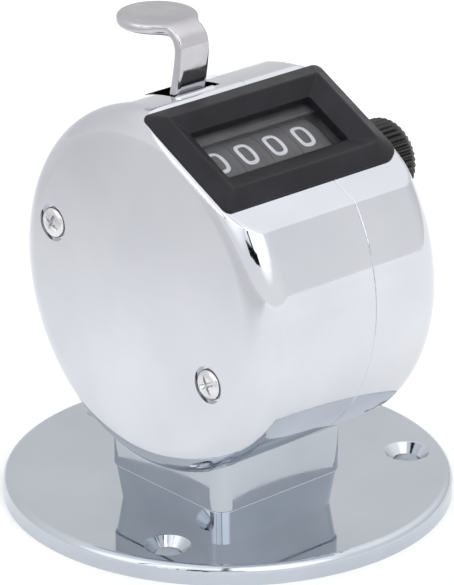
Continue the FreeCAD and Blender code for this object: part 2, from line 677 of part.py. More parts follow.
def lever_rivets():
    """Two rivets through the neck's foot and the yoke's strip, headed behind."""
    y0 = WEB_Y - 1.5 * LEVER_T
    rivets = []
    for side in (-1, 1):
        place = vec(LEVER_X + side * NECK_W * 0.28, y0, WEB_Z)
        shank = Part.makeCylinder(RIVET_R, 2 * LEVER_T, place, vec(0, 1, 0))
        behind = place + vec(0, 2 * LEVER_T, 0)
        rivets.append(shank.fuse(Part.makeCylinder(RIVET_HEAD_R, RIVET_HEAD_T, behind, vec(0, 1, 0))))
    return Part.makeCompound(rivets)


def lever_pivot_pin():
    left = ARM_LEFT_X - ARM_T - ARM_GAP - PIN_CLIP_T - 0.3
    right = ARM_RIGHT_X + ARM_T + ARM_GAP + 4 * SPRING_WIRE
    return rod(PIVOT_R, left, right, PIVOT)


def clip(x, centre, inner, outer):
    """Snap ring with an open side."""
    ring = rod(outer, x, x + PIN_CLIP_T, centre).cut(rod(inner, x - 1, x + 2, centre))
    mouth = box((x - 1, x + 2), (centre[0] - inner * 0.7, centre[0] + inner * 0.7),
                (centre[1] - outer - 1, centre[1]))
    return ring.cut(mouth)


def pivot_clip():
    x = ARM_LEFT_X - ARM_T - ARM_GAP / 2 - PIN_CLIP_T
    return clip(x, PIVOT, PIVOT_R, PIVOT_R + 1.1)


SPRING_WIRE = 0.45
SPRING_R = 1.75             # middle of the wire from the pin's axis
SPRING_LEG_OVER = 1.0       # leg's end beyond the front pillar that it lies on
SPRING_HOOK_OUT = 6.0       # hook under the arm, from the coil


def direction(a, b):
    """Angle from +Y towards +Z, in degrees, of the line from a to b."""
    return degrees(atan2(b[1] - a[1], b[0] - a[0]))


def lever_return_spring():
    """Torsion coil on the pivot pin; one leg lies on a pillar, one under the lever's arm."""
    arm_deg = direction(PIVOT, ARM_ROUTE[1])
    wire = SPRING_WIRE / 2
    span = hypot(PILLARS[1][0] - PIVOT[0], PILLARS[1][1] - PIVOT[1])
    aside = asin((PILLAR_R + wire + RUN_FIT - SPRING_R) / span)
    pillar_deg = direction(PIVOT, PILLARS[1]) + degrees(aside)
    turns = 3 + (arm_deg - pillar_deg - 180) / 360
    pitch = SPRING_WIRE * 1.05
    rise = pitch * turns
    profile = Part.Wire(Part.makeCircle(wire, vec(SPRING_R, 0, 0), vec(0, 1, 0)))
    coil = Part.Wire(Part.makeHelix(pitch, rise, SPRING_R)).makePipeShell([profile], True, True)
    coil.rotate(vec(0, 0, 0), vec(0, 1, 0), 90)
    coil.rotate(vec(0, 0, 0), X_AXIS, pillar_deg - 180)
    near = ARM_RIGHT_X + ARM_T + ARM_GAP + wire
    coil.translate(vec(near, *PIVOT))
    start = spring_point(near, pillar_deg + 90)
    end = spring_point(near + rise, arm_deg - 90)
    leg = strut(start, start + heading(pillar_deg) * (span * cos(aside) + SPRING_LEG_OVER), wire)
    reach = end + heading(arm_deg) * SPRING_HOOK_OUT
    hook = strut(reach, vec(ARM_RIGHT_X, reach.y, reach.z), wire)
    return coil.multiFuse([leg, strut(end, reach, wire), Part.makeSphere(wire, reach), hook])


def spring_point(x, angle_deg):
    """Point of the coil's centre line at an angle about the lever's pivot."""
    return vec(x, *PIVOT) + heading(angle_deg) * SPRING_R


def heading(angle_deg):
    return vec(0, cos(radians(angle_deg)), sin(radians(angle_deg)))


def strut(a, b, radius):
    return Part.makeCylinder(radius, (b - a).Length, a, b - a)


def pawl_tip():
    return around_wheel(PAWL_ANGLE, RATCHET_TIP_R + PAWL_GAP + 0.35)


def pawl():
    """Tube on its pin with one finger for each ratchet."""
    fingers = finger_places()
    left = ARM_LEFT_X + ARM_GAP
    right = ARM_RIGHT_X - ARM_GAP
    tube = rod(PAWL_TUBE_R, left, right, PAWL_PIN)
    hooks = [bar(PAWL_PIN, pawl_tip(), 1.1, 0.35, x - PAWL_T / 2, x + PAWL_T / 2) for x in fingers]
    solid = tube.multiFuse(hooks).removeSplitter()
    return solid.cut(rod(PAWL_PIN_R + RUN_FIT, -THROUGH, THROUGH, PAWL_PIN))


def pawl_pin():
    return rod(PAWL_PIN_R, ARM_LEFT_X - ARM_T, ARM_RIGHT_X + ARM_T, PAWL_PIN)


def pawl_spring():
    """Leaf on the lever's cross strip that bears down over the pawl."""
    half = 0.125
    start_y = WEB_Y + LEVER_T / 2 + half
    route = [(start_y, WEB_Z + WEB_HALF * 0.7), (start_y, WEB_Z - WEB_HALF), PAWL_SPRING_KNEE,
             (PAWL_PIN[0], PAWL_PIN[1] + PAWL_TUBE_R + 0.25)]
    return chain(route, half, PAWL_SPRING_X - 2.0, PAWL_SPRING_X + 2.0)


# ---- shaft, knob and wheels ----

def reset_shaft():
    left = FRAME_LEFT_X - FRAME_T - 1.0
    shaft = rod(SHAFT_R, left, KNOB_END_X - 1.2, WHEEL_AXIS)
    y, z = WHEEL_AXIS
    groove = box((FRAME_LEFT_X + 0.2, FRAME_RIGHT_X - 0.2),
                 (y - SHAFT_GROOVE_W / 2, y + SHAFT_GROOVE_W / 2),
                 (z - SHAFT_R - 1, z - SHAFT_R + SHAFT_GROOVE_DEPTH))
    return shaft.cut(groove)


def shaft_clip():
    return clip(FRAME_LEFT_X - FRAME_T - 0.75, WHEEL_AXIS, SHAFT_R, SHAFT_R + 0.8)


def shaft_bush():
    """Flanged bearing in the right shell."""
    inner = INNER_END_X - WALL
    tube = rod(BUSH_R, inner, DRUM_HALF_W, WHEEL_AXIS)
    flange = rod(BUSH_FLANGE_R, DRUM_HALF_W, DRUM_HALF_W + 0.5, WHEEL_AXIS)
    return tube.fuse(flange).cut(rod(SHAFT_R + RUN_FIT, -THROUGH, THROUGH, WHEEL_AXIS))


def knob_outline():
    """Straight-knurled edge: one flat-topped ridge for each step round the circle."""
    points = []
    for i in range(KNOB_RIDGES):
        step = 2 * pi / KNOB_RIDGES
        for share, radius in ((0.0, KNOB_R), (0.35, KNOB_R), (0.65, KNOB_R - KNOB_RIDGE_DEPTH)):
            angle = (i + share) * step
            points.append((WHEEL_AXIS[0] + radius * cos(angle), WHEEL_AXIS[1] + radius * sin(angle)))
    return points


def reset_knob():
    near = DRUM_HALF_W + KNOB_NEAR_GAP
    knob = plate(knob_outline(), near, KNOB_END_X)
    dish = rod(KNOB_R * 0.6, KNOB_END_X - 0.5, KNOB_END_X + 1, WHEEL_AXIS)
    bore = rod(SHAFT_R, near - 1, KNOB_END_X - 1.2, WHEEL_AXIS)
    return knob.cut(Part.makeCompound([dish, bore, knob_screw_body(0)]))


def knob_screw_body(shorter):
    """Grub screw, or its hole, that goes in from the knob's back side."""
    x = DRUM_HALF_W + KNOB_NEAR_GAP + 2.2
    y, z = WHEEL_AXIS
    length = KNOB_R - SHAFT_R - shorter
    return Part.makeCylinder(0.9, length, vec(x, y + SHAFT_R, z), vec(0, 1, 0))


def knob_screw():
    return knob_screw_body(1.0)


def wheel(x):
    """Figure wheel: rim, web and hub; the hub carries the ratchet beside it."""
    left = x - WHEEL_RIM_W / 2
    right = x + WHEEL_RIM_W / 2
    rim = rod(WHEEL_R, left, right, WHEEL_AXIS)
    rim = rim.cut(rod(WHEEL_R - WHEEL_RIM_T, left - 1, right + 1, WHEEL_AXIS))
    web = rod(WHEEL_R - WHEEL_RIM_T / 2, right - WHEEL_WEB_T, right, WHEEL_AXIS)
    hub = rod(WHEEL_HUB_R, left, right, WHEEL_AXIS)
    solid = rim.multiFuse([web, hub]).removeSplitter()
    cuts = [rod(SHAFT_R + RUN_FIT, -THROUGH, THROUGH, WHEEL_AXIS), reset_pawl_pin(x, 0.0)]
    return solid.cut(Part.makeCompound(cuts))


def ratchet(x):
    """Ten-tooth saw ring fixed to the wheel's right side."""
    points = []
    for i in range(TEETH):
        for share, radius in ((0.0, RATCHET_TIP_R), (0.04, RATCHET_ROOT_R)):
            points.append(around_wheel(PAWL_ANGLE - 6 + (i + share) * 360 / TEETH, radius))
    x0 = x + WHEEL_RIM_W / 2
    ring = plate(points, x0 + SIDE_GAP, x0 + SIDE_GAP + RATCHET_T)
    ring = ring.fuse(rod(WHEEL_HUB_R, x0, x0 + SIDE_GAP + RATCHET_T, WHEEL_AXIS))
    return ring.cut(rod(SHAFT_R + RUN_FIT, -THROUGH, THROUGH, WHEEL_AXIS))


def reset_pawl_pin(x, gap):
    """Small pin in the wheel's web that a reset pawl turns on."""
    place = around_wheel(-50.0, WHEEL_HUB_R + 1.7)
    left = x - WHEEL_RIM_W / 2 + 0.4
    return rod(0.5 - gap, left, x + WHEEL_RIM_W / 2, place)


def reset_pawl(x):
    """Little pawl that drops into the shaft's groove; its nose stands just off the shaft."""
    place = around_wheel(-50.0, WHEEL_HUB_R + 1.7)
    nose = around_wheel(-84.0, WHEEL_HUB_R + 0.55)
    left = x - WHEEL_RIM_W / 2 + 0.4
    return bar(place, nose, 0.95, 0.4, left, left + 0.9).fuse(reset_pawl_pin(x, 0.0))


def save(name, shape, in_head=True):
    if in_head:
        shape = shape.translated(HEAD_ORIGIN)
    solids = shape.Solids
    if not solids or not shape.isValid():
        print("PROBLEM", name, len(solids), shape.isValid())
    whole = solids[0] if len(solids) == 1 else Part.makeCompound(solids)
    whole.exportStep(os.path.join("parts", name + ".step"))
    print(name, len(solids), round(sum(s.Volume for s in solids), 2))


def main():
    os.makedirs("parts", exist_ok=True)
    save("base_plate", base_plate(), False)
    save("pedestal", pedestal(), False)
    save("foot_block", foot_block(), False)
    save("base_screws", base_screws(), False)
    save("foot_screws", foot_screws(), False)
    save("casing_left", casing_left())
    save("casing_right", casing_right())
    save("casing_pillars", casing_pillars())
    save("casing_screws", casing_screws())
    save("window_bezel", window_bezel())
    save("window_lens", window_lens())
    save("figure_shade", figure_shade())
    save("frame_plate_left", frame_plate(FRAME_LEFT_X - FRAME_T))
    save("frame_plate_right", frame_plate(FRAME_RIGHT_X))
    save("frame_spacers", frame_spacers())
    save("dial_mask", dial_mask())
    save("detent_bar", drill_for_detent_screws(detent_bar()))
    save("detent_spring", drill_for_detent_screws(detent_spring()))
    save("detent_screws", detent_screws())
    save("lever_yoke", lever_yoke())
    save("thumb_lever", thumb_lever())
    save("lever_rivets", lever_rivets())
    save("lever_pivot_pin", lever_pivot_pin())
    save("pivot_clip", pivot_clip())
    save("lever_return_spring", lever_return_spring())
    save("pawl", pawl())
    save("pawl_pin", pawl_pin())
    save("pawl_spring", pawl_spring())
    save("reset_shaft", reset_shaft())
    save("shaft_clip", shaft_clip())
    save("shaft_bush", shaft_bush())
    save("reset_knob", reset_knob())
    save("knob_screw", knob_screw())
    for name, x in zip(WHEEL_NAMES, WHEEL_X):
        save("wheel_" + name, wheel(x))
        save("ratchet_" + name, ratchet(x))
        save("reset_pawl_" + name, reset_pawl(x))
    print("pivot", [round(v, 4) for v in (HEAD_X, HEAD_Y + PIVOT[0], AXIS_Z + PIVOT[1])])
    print("shaft", [round(v, 4) for v in (HEAD_X, HEAD_Y + WHEEL_AXIS[0], AXIS_Z + WHEEL_AXIS[1])])
    print("pawl pin", [round(v, 4) for v in (HEAD_X, HEAD_Y + PAWL_PIN[0], AXIS_Z + PAWL_PIN[1])])


main()
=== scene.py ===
import bpy
import bmesh
import json
import math
import numpy as np
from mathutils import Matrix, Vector


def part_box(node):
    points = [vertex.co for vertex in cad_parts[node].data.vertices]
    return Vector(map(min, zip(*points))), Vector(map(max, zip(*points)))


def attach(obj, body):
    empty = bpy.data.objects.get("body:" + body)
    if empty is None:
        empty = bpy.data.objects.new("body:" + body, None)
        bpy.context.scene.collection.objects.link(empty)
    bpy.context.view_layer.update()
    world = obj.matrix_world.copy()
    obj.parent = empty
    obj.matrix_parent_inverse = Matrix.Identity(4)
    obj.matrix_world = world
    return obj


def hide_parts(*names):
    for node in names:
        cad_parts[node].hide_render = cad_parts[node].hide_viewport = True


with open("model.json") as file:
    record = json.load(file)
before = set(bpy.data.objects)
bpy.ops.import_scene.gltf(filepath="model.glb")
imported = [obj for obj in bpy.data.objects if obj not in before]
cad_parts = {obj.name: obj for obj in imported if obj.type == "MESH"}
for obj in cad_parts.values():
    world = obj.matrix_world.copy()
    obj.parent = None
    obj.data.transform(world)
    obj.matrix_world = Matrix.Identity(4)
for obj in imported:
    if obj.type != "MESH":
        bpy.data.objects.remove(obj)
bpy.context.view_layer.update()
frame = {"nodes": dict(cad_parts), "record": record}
nodes = frame["nodes"]
mm = 0.001
print("frame loaded:", len(nodes), "nodes")


# a node's lowest and highest corner in millimetres
def nodeBox(name):
    low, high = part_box(name)
    return np.array(low) / mm, np.array(high) / mm


# places that several pieces share, in millimetres, taken from the frame
leftLow, leftHigh = nodeBox("casing_left")
rightHigh = nodeBox("casing_right")[1]
drumRadius = (leftHigh[1] - leftLow[1]) / 2
drumHalfWidth = (rightHigh[0] - leftLow[0]) / 2
drumCentre = leftLow + np.array([drumHalfWidth, drumRadius, drumRadius])
facetTilt = math.radians(27.0)      # slope of the window's facet
facetHeight = 19.4                  # facet above the drum's axis
facetAcross = np.array([1.0, 0.0, 0.0])
facetUp = np.array([0.0, math.cos(facetTilt), math.sin(facetTilt)])
facetOut = np.array([0.0, -math.sin(facetTilt), math.cos(facetTilt)])
unitsLow, unitsHigh = nodeBox("wheel_units")
wheelRadius = (unitsHigh[1] - unitsLow[1]) / 2
wheelAxis = (unitsLow + unitsHigh)[1:] / 2

longestShare = 0.48     # a rounding takes at most this share of the side that it lies on
mergeDistance = 1e-7    # metres; points closer than this become one
tiny = 1e-9             # keeps a division away from zero


# ring of points on the facet: u across, v up the slope, w above the facet
def facetRing(outline, w):
    u, v = outline[:, 0:1], outline[:, 1:2]
    return drumCentre + u * facetAcross + v * facetUp + (facetHeight + w) * facetOut


# rectangle with a quarter circle of its own radius at each corner, one ring of points
def roundedRectangle(low, high, radii, steps=10):
    turn = np.linspace(0, math.pi / 2, steps)
    corner = np.array([[high[0], high[1]], [low[0], high[1]], [low[0], low[1]], [high[0], low[1]]])
    inward = np.array([[-1, -1], [1, -1], [1, 1], [-1, 1]])
    radius = np.array(radii, float)[:, None, None]
    start = (np.arange(4) * math.pi / 2)[:, None]
    arc = np.stack([np.cos(start + turn), np.sin(start + turn)], axis=-1)
    return ((corner + inward * radius[:, 0])[:, None] + arc * radius).reshape(-1, 2)


# rounds the profile at each ring: a quadratic curve from reach before it to reach after it
def softenRings(rings, reach, steps=5, closed=False):
    rings = np.asarray(rings, float)
    toBefore = np.roll(rings, 1, axis=0) - rings
    toAfter = np.roll(rings, -1, axis=0) - rings
    spread = np.asarray(reach, float)[:, None, None]
    sideBefore = np.maximum(np.linalg.norm(toBefore, axis=2, keepdims=True), tiny)
    sideAfter = np.maximum(np.linalg.norm(toAfter, axis=2, keepdims=True), tiny)
    start = rings + toBefore * np.minimum(spread / sideBefore, longestShare)
    end = rings + toAfter * np.minimum(spread / sideAfter, longestShare)
    t = np.linspace(0, 1, steps)[None, :, None, None]
    soft = (1 - t) ** 2 * start[:, None] + 2 * t * (1 - t) * rings[:, None] + t ** 2 * end[:, None]
    if closed:
        return soft.reshape(-1, rings.shape[1], 3)
    return np.concatenate([rings[:1], soft[1:-1].reshape(-1, rings.shape[1], 3), rings[-1:]])


# quads between neighbouring rings; every ring closes on itself
def ringQuads(rings, around, closed=False):
    k = np.arange(rings if closed else rings - 1)[:, None]
    j = np.arange(around)[None, :]
    nextK, nextJ = (k + 1) % rings, (j + 1) % around
    corners = [k * around + j, k * around + nextJ, nextK * around + nextJ, nextK * around + j]
    return np.stack(np.broadcast_arrays(*corners), axis=-1).reshape(-1, 4)


# quads of an open grid of rows and columns
def gridQuads(rows, columns):
    k = np.arange(rows - 1)[:, None]
    j = np.arange(columns - 1)[None, :]
    corners = [k * columns + j, k * columns + j + 1, (k + 1) * columns + j + 1, (k + 1) * columns + j]
    return np.stack(np.broadcast_arrays(*corners), axis=-1).reshape(-1, 4)


# flat faces over the first and the last of some rings, whose points are numbered from start
def endFaces(start, count, around):
    last = start + (count - 1) * around
    return [list(range(start, start + around)), list(range(last, last + around))]


# mesh object from points in millimetres; seams close and normals turn outwards
def makePiece(name, points, faces, material, body, replaces=()):
    mesh = bpy.data.meshes.new(name)
    mesh.from_pydata((np.asarray(points) * mm).tolist(), [], faces)
    work = bmesh.new()
    work.from_mesh(mesh)
    bmesh.ops.remove_doubles(work, verts=work.verts, dist=mergeDistance)
    bmesh.ops.recalc_face_normals(work, faces=work.faces)
    work.to_mesh(mesh)
    work.free()
    mesh.shade_smooth()
    mesh.materials.append(material)
    piece = bpy.data.objects.new(name, mesh)
    bpy.context.collection.objects.link(piece)
    weights = piece.modifiers.new("faceWeights", "WEIGHTED_NORMAL")
    weights.keep_sharp = True
    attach(piece, body)
    if replaces:
        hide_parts(*replaces)
    return piece


# rings joined into one solid, with flat ends where the row of rings is open
def ringSolid(name, rings, material, body, replaces=(), closed=False):
    count, around = rings.shape[:2]
    faces = ringQuads(count, around, closed).tolist()
    if not closed:
        faces += endFaces(0, count, around)
    return makePiece(name, rings.reshape(-1, 3), faces, material, body, replaces)


# finishes: every one has its own cloudiness, wear and fine relief
# colour runs between two tones and roughness between two values; shine is the specular level
# clouds and smudges are the scales of the noise behind the colour and the roughness
# relief is (kind, scale, stretch, depth in mm); a wave takes no stretch
finishes = {
    "shellChrome": {"tones": ((0.585, 0.60, 0.645), (0.655, 0.67, 0.71)), "clouds": 55, "metal": 1.0,
                    "rough": (0.035, 0.11), "smudges": 170,
                    "relief": [("noise", 38, (1, 1, 1), 0.035), ("noise", 1500, (1, 1, 1), 0.00012)]},
    # painted shade: the foot's chrome is toned darker than the shell's, in place of the darker floor near
    # the object that it reflects
    "footChromePaintedShade": {"tones": ((0.40, 0.435, 0.475), (0.47, 0.505, 0.55)), "clouds": 90, "metal": 1.0,
                   "rough": (0.04, 0.12), "smudges": 240,
                   "relief": [("noise", 90, (1, 1, 1), 0.012), ("noise", 1900, (1, 1, 1), 0.00014)]},
    "plateChrome": {"tones": ((0.51, 0.55, 0.605), (0.58, 0.615, 0.67)), "clouds": 48, "metal": 1.0,
                    "rough": (0.03, 0.13), "smudges": 130,
                    "relief": [("noise", 60, (1, 1, 1), 0.010), ("noise", 1700, (1, 1, 1), 0.0001)]},
    "leverChrome": {"tones": ((0.47, 0.46, 0.49), (0.56, 0.55, 0.58)), "clouds": 260, "metal": 1.0,
                    "rough": (0.05, 0.14), "smudges": 900,
                    "relief": [("noise", 300, (1, 1, 1), 0.006), ("noise", 2600, (1, 3, 1), 0.0004)]},
    "screwPlating": {"tones": ((0.60, 0.60, 0.62), (0.74, 0.74, 0.75)), "clouds": 700, "metal": 1.0,
                     "rough": (0.10, 0.26), "smudges": 1200,
                     "relief": [("noise", 900, (1, 1, 1), 0.006), ("noise", 3200, (1, 1, 1), 0.0008)]},
    "stampedSteel": {"tones": ((0.30, 0.30, 0.31), (0.44, 0.44, 0.45)), "clouds": 300, "metal": 1.0,
                     "rough": (0.28, 0.46), "smudges": 500,
                     "relief": [("noise", 2600, (1, 14, 1), 0.0012), ("noise", 260, (1, 1, 1), 0.004)]},
    "springSteel": {"tones": ((0.25, 0.25, 0.27), (0.40, 0.40, 0.42)), "clouds": 500, "metal": 1.0,
                    "rough": (0.20, 0.38), "smudges": 900,
                    "relief": [("noise", 3000, (9, 1, 1), 0.001)]},
    "turnedBrass": {"tones": ((0.50, 0.34, 0.12), (0.66, 0.48, 0.20)), "clouds": 240, "metal": 1.0,
                    "rough": (0.18, 0.36), "smudges": 600,
                    "relief": [("wave", 2200, None, 0.0012), ("noise", 700, (1, 1, 1), 0.002)]},
    "bezelPlastic": {"tones": ((0.010, 0.0095, 0.0125), (0.017, 0.016, 0.021)), "clouds": 220, "metal": 0.0,
                     "rough": (0.36, 0.50), "smudges": 400, "shine": 0.22,
                     "relief": [("noise", 2400, (1, 1, 1), 0.002), ("noise", 160, (1, 1, 1), 0.004)]},
    "knobPlastic": {"tones": ((0.008, 0.008, 0.008), (0.018, 0.018, 0.017)), "clouds": 500, "metal": 0.0,
                    "rough": (0.20, 0.40), "smudges": 900,
                    "relief": [("noise", 1800, (1, 1, 1), 0.002)]},
    "wheelPlastic": {"tones": ((0.095, 0.094, 0.106), (0.135, 0.134, 0.148)), "clouds": 320, "metal": 0.0,
                     "rough": (0.42, 0.60), "smudges": 700,
                     "relief": [("noise", 900, (3, 1, 1), 0.0005)]},
    "figureWhite": {"tones": ((0.82, 0.85, 0.93), (0.93, 0.95, 1.0)), "clouds": 1400, "metal": 0.0,
                    "rough": (0.45, 0.70), "smudges": 1600,
                    "relief": [("noise", 2600, (1, 1, 1), 0.004)]},
    "lensClear": {"tones": ((0.05, 0.05, 0.055), (0.085, 0.085, 0.09)), "clouds": 180, "metal": 0.0,
                  "rough": (0.02, 0.09), "smudges": 420,
                  "relief": [("noise", 900, (1, 9, 1), 0.0002)]},
}
# how every finish reads its noise: spans of the noise's value, its detail, and how far a wave wanders
reading = {"toneSpan": (0.32, 0.68), "roughSpan": (0.35, 0.75), "toneDetail": 4, "roughDetail": 6,
           "reliefDetail": 3, "wander": 1.5, "usualShine": 0.5}


# principled shader whose colour, roughness and relief all come from noise on object coordinates
def makeFinish(name, look):
    material = bpy.data.materials.new(name)
    material.use_nodes = True
    tree = material.node_tree
    shader = tree.nodes["Principled BSDF"]
    shader.inputs["Metallic"].default_value = look["metal"]
    shader.inputs["Specular IOR Level"].default_value = look.get("shine", reading["usualShine"])
    place = tree.nodes.new("ShaderNodeTexCoord").outputs["Object"]

    # noise of a scale and a detail, on coordinates multiplied by the stretch
    def cloud(scale, detail, stretch=(1, 1, 1)):
        noise = tree.nodes.new("ShaderNodeTexNoise")
        noise.inputs["Scale"].default_value = scale
        noise.inputs["Detail"].default_value = detail
        source = place
        if stretch != (1, 1, 1):
            mapping = tree.nodes.new("ShaderNodeMapping")
            mapping.inputs["Scale"].default_value = stretch
            tree.links.new(place, mapping.inputs["Vector"])
            source = mapping.outputs["Vector"]
        tree.links.new(source, noise.inputs["Vector"])
        return noise.outputs["Fac"]

    ramp = tree.nodes.new("ShaderNodeValToRGB")
    for element, position, tone in zip(ramp.color_ramp.elements, reading["toneSpan"], look["tones"]):
        element.position = position
        element.color = (*tone, 1.0)
    tree.links.new(cloud(look["clouds"], reading["toneDetail"]), ramp.inputs["Fac"])
    tree.links.new(ramp.outputs["Color"], shader.inputs["Base Color"])

    spread = tree.nodes.new("ShaderNodeMapRange")
    spread.inputs["From Min"].default_value, spread.inputs["From Max"].default_value = reading["roughSpan"]
    spread.inputs["To Min"].default_value, spread.inputs["To Max"].default_value = look["rough"]
    tree.links.new(cloud(look["smudges"], reading["roughDetail"]), spread.inputs["Value"])
    tree.links.new(spread.outputs["Result"], shader.inputs["Roughness"])

    lastNormal = None
    for kind, scale, stretch, depth in look["relief"]:
        if kind == "wave":
            wave = tree.nodes.new("ShaderNodeTexWave")
            wave.inputs["Scale"].default_value = scale
            wave.inputs["Distortion"].default_value = reading["wander"]
            tree.links.new(place, wave.inputs["Vector"])
            height = wave.outputs["Fac"]
        else:
            height = cloud(scale, reading["reliefDetail"], stretch)
        bump = tree.nodes.new("ShaderNodeBump")
        bump.inputs["Strength"].default_value = 1.0
        bump.inputs["Distance"].default_value = depth * mm
        tree.links.new(height, bump.inputs["Height"])
        if lastNormal is not None:
            tree.links.new(lastNormal, bump.inputs["Normal"])
        lastNormal = bump.outputs["Normal"]
    tree.links.new(lastNormal, shader.inputs["Normal"])
    return material


materials = {name: makeFinish(name, look) for name, look in finishes.items()}

# the lens is mostly seen through, with a faint grey haze; its relief is fine wiping marks
lensLook = {"haze": 0.13, "index": 1.75}
lensShader = materials["lensClear"].node_tree.nodes["Principled BSDF"]
lensShader.inputs["Alpha"].default_value = lensLook["haze"]
lensShader.inputs["IOR"].default_value = lensLook["index"]
print("finishes made:", len(materials))

# finish of each slot; the frame's own meshes keep their shape and take these
slotFinish = {"base_chrome": "plateChrome", "foot_chrome": "footChromePaintedShade", "shell_chrome": "shellChrome",
              "lever_chrome": "leverChrome", "screw_steel": "screwPlating", "frame_steel": "stampedSteel",
              "spring_steel": "springSteel", "bearing_brass": "turnedBrass", "bezel_plastic": "bezelPlastic",
              "knob_plastic": "knobPlastic", "wheel_plastic": "wheelPlastic", "lens_clear": "lensClear"}
for part in frame["record"]["subparts"]:
    node = nodes[part["node"]]
    node.data.materials.clear()
    node.data.materials.append(materials[slotFinish[part["material_slot"]]])
print("frame nodes finished")

# window bezel, in millimetres on the facet; the soft values are the roundings of its profile
bezel = {"outerLow": (-13.6, -6.6), "outerHigh": (13.6, 9.7), "cornerRadii": (1.0, 0.9, 0.8, 2.3),
         "skirt": 0.35, "ridgeIn": 2.1, "ridgeCornerShare": 0.5, "leastCorner": 0.3, "rise": 1.35,
         "windowLow": (-9.3, -1.8), "windowHigh": (9.3, 5.7), "windowCorner": 0.25, "windowDrop": 0.15,
         "lensTop": -1.1, "lensMargin": 0.95, "pocketCorner": 0.2, "collarWall": 0.85, "collarDrop": 1.8,
         "footSoft": 0.03, "skirtSoft": 0.14, "ridgeSoft": 0.28, "windowSoft": 0.08, "innerSoft": 0.02,
         "softSteps": 6}


# rounded rectangles carried through skirt, outer slope, ridge, inner slope, window wall, pocket and collar
def makeBezel():
    low, high = np.array(bezel["outerLow"]), np.array(bezel["outerHigh"])
    winLow, winHigh = np.array(bezel["windowLow"]), np.array(bezel["windowHigh"])
    cornerLoss = bezel["ridgeIn"] * bezel["ridgeCornerShare"]
    ridgeRadii = [max(radius - cornerLoss, bezel["leastCorner"]) for radius in bezel["cornerRadii"]]
    margin = bezel["lensMargin"]
    reach = margin + bezel["collarWall"]
    outer = roundedRectangle(low, high, bezel["cornerRadii"])
    ridge = roundedRectangle(low + bezel["ridgeIn"], high - bezel["ridgeIn"], ridgeRadii)
    window = roundedRectangle(winLow, winHigh, (bezel["windowCorner"],) * 4)
    pocket = roundedRectangle(winLow - margin, winHigh + margin, (bezel["pocketCorner"],) * 4)
    collar = roundedRectangle(winLow - reach, winHigh + reach, (bezel["pocketCorner"],) * 4)
    inner = bezel["innerSoft"]
    profile = [(outer, 0.0, bezel["footSoft"]), (outer, bezel["skirt"], bezel["skirtSoft"]),
               (ridge, bezel["rise"], bezel["ridgeSoft"]),
               (window, -bezel["windowDrop"], bezel["windowSoft"]),
               (window, bezel["lensTop"], inner), (pocket, bezel["lensTop"], inner),
               (pocket, -bezel["collarDrop"], inner), (collar, -bezel["collarDrop"], inner),
               (collar, 0.0, inner)]
    rings = np.array([facetRing(outline, w) for outline, w, _ in profile])
    rings = softenRings(rings, [soft for _, _, soft in profile], steps=bezel["softSteps"], closed=True)
    return ringSolid("windowBezel", rings, materials["bezelPlastic"], "case",
                     ("window_bezel",), closed=True)


makeBezel()
print("bezel made")

# figures 0 to 9 as centre lines in a box one wide and one high, (closed, points)
strokes = {
    0: [(True, [(-.5, .26), (-.34, .5), (.34, .5), (.5, .26), (.5, -.26), (.34, -.5), (-.34, -.5),
                (-.5, -.26)])],
    1: [(False, [(-.22, .3), (-.02, .44), (.08, .5), (.08, .5), (.08, .46), (.08, -.5)])],
    2: [(False, [(-.48, .22), (-.44, .5), (.46, .54), (.52, .14), (.2, -.1), (-.42, -.42), (-.5, -.5),
                 (-.5, -.5), (-.42, -.5), (.5, -.5)])],
    3: [(False, [(-.46, .34), (-.3, .5), (.3, .52), (.5, .36), (.44, .1), (.2, .03), (-.1, .03)]),
        (False, [(-.1, .03), (.3, .03), (.52, -.12), (.5, -.42), (.3, -.52), (-.3, -.5), (-.5, -.34)])],
    4: [(False, [(.22, -.5), (.22, .5), (.22, .5), (.16, .44), (-.46, -.12), (-.5, -.2), (-.5, -.2),
                 (-.44, -.2), (.5, -.2)])],
    5: [(False, [(.42, .5), (-.34, .5), (-.4, .5), (-.4, .5), (-.41, .44), (-.46, .04), (-.46, .04),
                 (-.2, .14), (.34, .14), (.52, -.06), (.5, -.38), (.3, -.52), (-.28, -.5), (-.5, -.36)])],
    6: [(False, [(.4, .44), (.1, .52), (-.3, .44), (-.5, .14), (-.5, -.3), (-.32, -.52), (.32, -.52),
                 (.52, -.3), (.48, -.02), (.26, .1), (-.28, .1), (-.46, -.06)])],
    7: [(False, [(-.5, .5), (.42, .5), (.5, .5), (.5, .5), (.47, .44), (.1, -.1), (-.04, -.5)])],
    8: [(True, [(-.3, .5), (.3, .5), (.45, .38), (.43, .14), (.28, .02), (-.28, .02), (-.43, .14),
                (-.45, .38)]),
        (True, [(-.3, .02), (.3, .02), (.5, -.1), (.5, -.38), (.32, -.5), (-.32, -.5), (-.5, -.38),
                (-.5, -.1)])],
    9: [(False, [(-.4, -.44), (-.1, -.52), (.3, -.44), (.5, -.14), (.5, .3), (.32, .52), (-.32, .52),
                 (-.52, .3), (-.48, .02), (-.26, -.1), (.28, -.1), (.46, .06)])],
}
# sizes in millimetres; the angles are degrees round the wheel, from the back upwards
figures = {"width": 1.83, "height": 2.92, "stroke": 0.50, "proud": 0.035, "sunk": 0.06, "topShare": 0.82,
           "edgeShare": 0.4, "zeroAngle": 114.8, "nextAngle": 36.0, "rounds": 3, "steps": 64, "probe": 0.02,
           "leastEnd": 1e-6}


# corner cutting: each round puts points at a quarter and three quarters of every side
def smoothStroke(points, closed):
    points = np.array(points, float)
    for _ in range(figures["rounds"]):
        after = np.roll(points, -1, axis=0)
        cut = np.stack([0.75 * points + 0.25 * after, 0.25 * points + 0.75 * after], axis=1)
        if closed:
            points = cut.reshape(-1, 2)
        else:
            points = np.vstack([points[:1], cut[:-1].reshape(-1, 2), points[-1:]])
    return points


